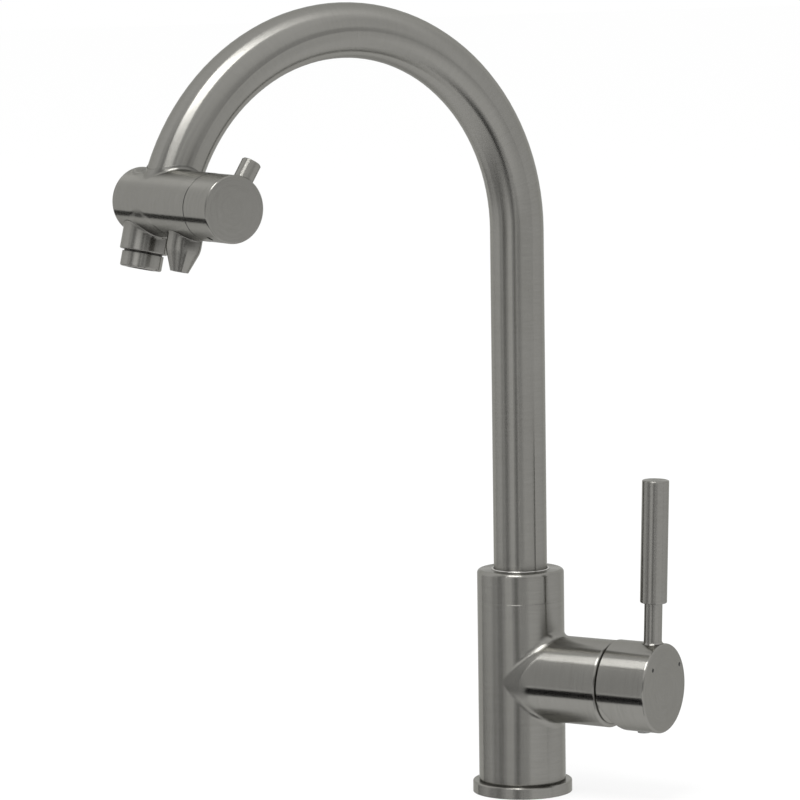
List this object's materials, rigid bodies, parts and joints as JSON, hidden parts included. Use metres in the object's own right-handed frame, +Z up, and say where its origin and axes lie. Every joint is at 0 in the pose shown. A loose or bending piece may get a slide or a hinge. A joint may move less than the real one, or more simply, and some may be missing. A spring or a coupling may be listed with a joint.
{
  "type": "kitchen mixer tap",
  "caption": "Deck-mounted kitchen mixer tap in brushed steel: swivelling arch spout, side rod lever, and a cross head with a main outlet, a filtered-water outlet and its knob.",
  "frame": {"origin": "centre of the deck hole in the plane of the worktop, where the filtered-water tube enters", "axes": "+Z up out of the worktop; at rest the spout reaches out along -Y and its knob faces +X; the lever branch points 24.8 degrees from +X towards +Y"},
  "size_m": [0.1125, 0.2844, 0.416],
  "materials": {
    "body_steel": "satin brushed",
    "flange_steel": "satin brushed",
    "ring_steel": "bright brushed",
    "spout_steel": "satin brushed",
    "head_steel": "satin brushed",
    "aerator_steel": "satin brushed",
    "knob_steel": "satin brushed",
    "hub_steel": "satin brushed",
    "lever_steel": "satin brushed",
    "dome_steel": "satin brushed",
    "screw_steel": "turned",
    "brass": "turned",
    "rubber": "matt",
    "ceramic": "ground ceramic",
    "white_plastic": "moulded",
    "grey_plastic": "moulded",
    "hose_plastic": "extruded",
    "dot_grey": "enamel"
  },
  "bodies": {
    "body": {"tap_body": "body_steel", "branch_sleeve": "body_steel", "top_collar": "body_steel", "collar_ring": "ring_steel", "base_flange": "flange_steel", "base_gasket": "rubber", "glide_ring": "white_plastic", "filter_inlet_nipple": "brass", "hose_seal": "rubber", "cartridge_base": "white_plastic", "port_seals": "rubber", "cartridge_housing": "white_plastic", "fixed_disc": "ceramic", "cartridge_nut": "brass", "dome_cover": "dome_steel"},
    "spout": {"spout_tube": "spout_steel", "spout_bush": "brass", "spout_orings": "rubber", "filter_hose": "hose_plastic", "head_body": "head_steel", "aerator_housing": "aerator_steel", "aerator_insert": "grey_plastic", "aerator_seal": "rubber", "nozzle_insert": "white_plastic", "valve_body": "brass", "valve_seal": "rubber", "valve_fixed_disc": "ceramic"},
    "knob": {"filter_knob": "knob_steel", "knob_peg": "knob_steel", "knob_grub": "screw_steel", "valve_spindle": "brass", "spindle_oring": "rubber", "valve_moving_disc": "ceramic"},
    "rotor": {"cartridge_rotor": "white_plastic", "stem_pin": "screw_steel"},
    "disc": {"moving_disc": "ceramic", "disc_carrier": "white_plastic"},
    "lever": {"cartridge_stem": "screw_steel", "lever_hub": "hub_steel", "lever_pin": "lever_steel", "lever_grip": "lever_steel", "grub_screw": "screw_steel", "hub_plug": "grey_plastic", "left_dot": "dot_grey", "right_dot": "dot_grey"}
  },
  "joints": [
    {"name": "spout_swivel", "type": "hinge", "parent": "body", "child": "spout", "pos_m": [0, 0, 0.1], "axis": [0, 0, 1], "range_deg": [-155.2, 204.8]},
    {"name": "filter_turn", "type": "hinge", "parent": "spout", "child": "knob", "pos_m": [0, -0.21058, 0.32023], "axis": [1, 0, 0], "range_deg": [0, 90]},
    {"name": "mixer_turn", "type": "hinge", "parent": "body", "child": "rotor", "pos_m": [0, 0, 0.0612], "axis": [0.9078, 0.4195, 0], "range_deg": [-45, 45]},
    {"name": "lever_tilt", "type": "hinge", "parent": "rotor", "child": "lever", "pos_m": [0.03813, 0.01762, 0.0612], "axis": [-0.4195, 0.9078, 0], "range_deg": [0, 20]},
    {"name": "disc_slide", "type": "slide", "parent": "rotor", "child": "disc", "axis": [0, 0, 1], "range_m": [0, 0.003]}
  ],
  "couplings": [
    {"joint": "disc_slide", "follows": "lever_tilt", "m_per_rad": 0.008}
  ]
}
